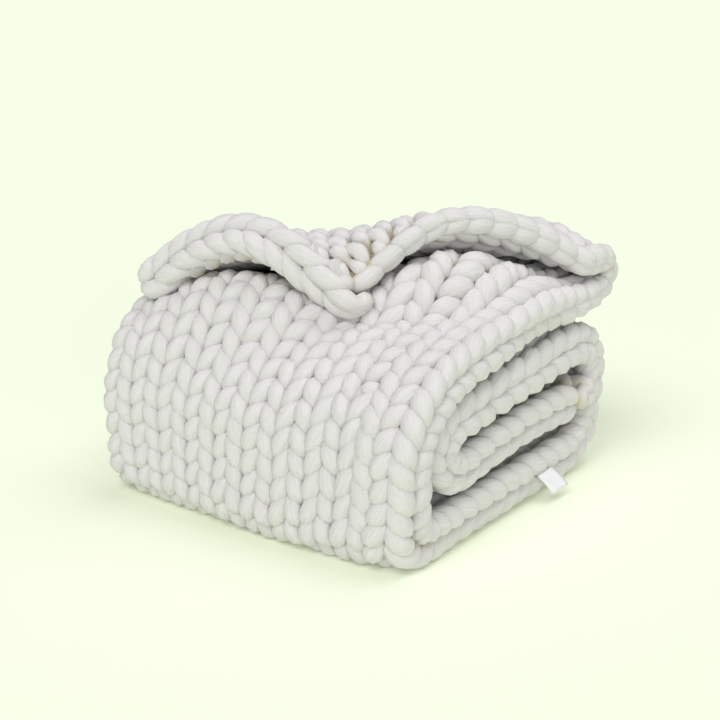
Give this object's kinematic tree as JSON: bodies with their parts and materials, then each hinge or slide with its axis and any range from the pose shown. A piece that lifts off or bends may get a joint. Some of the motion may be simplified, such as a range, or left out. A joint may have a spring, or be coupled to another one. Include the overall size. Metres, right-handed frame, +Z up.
{
  "type": "folded knit throw",
  "caption": "Thick hand-knit throw folded into a bundle, one corner turned back over the top, small plain label on the lowest layer.",
  "frame": {"origin": "middle of the bounding box on the floor", "axes": "+Z up; the front with its upright wales looks to -Y; the layered end and the label look to +X"},
  "size_m": [0.4017, 0.4072, 0.295],
  "materials": {
    "wool_knit": "matte thick yarn",
    "label_satin": "satin ribbon"
  },
  "bodies": {
    "root": {"throw": "wool_knit", "label": "label_satin"}
  },
  "joints": []
}
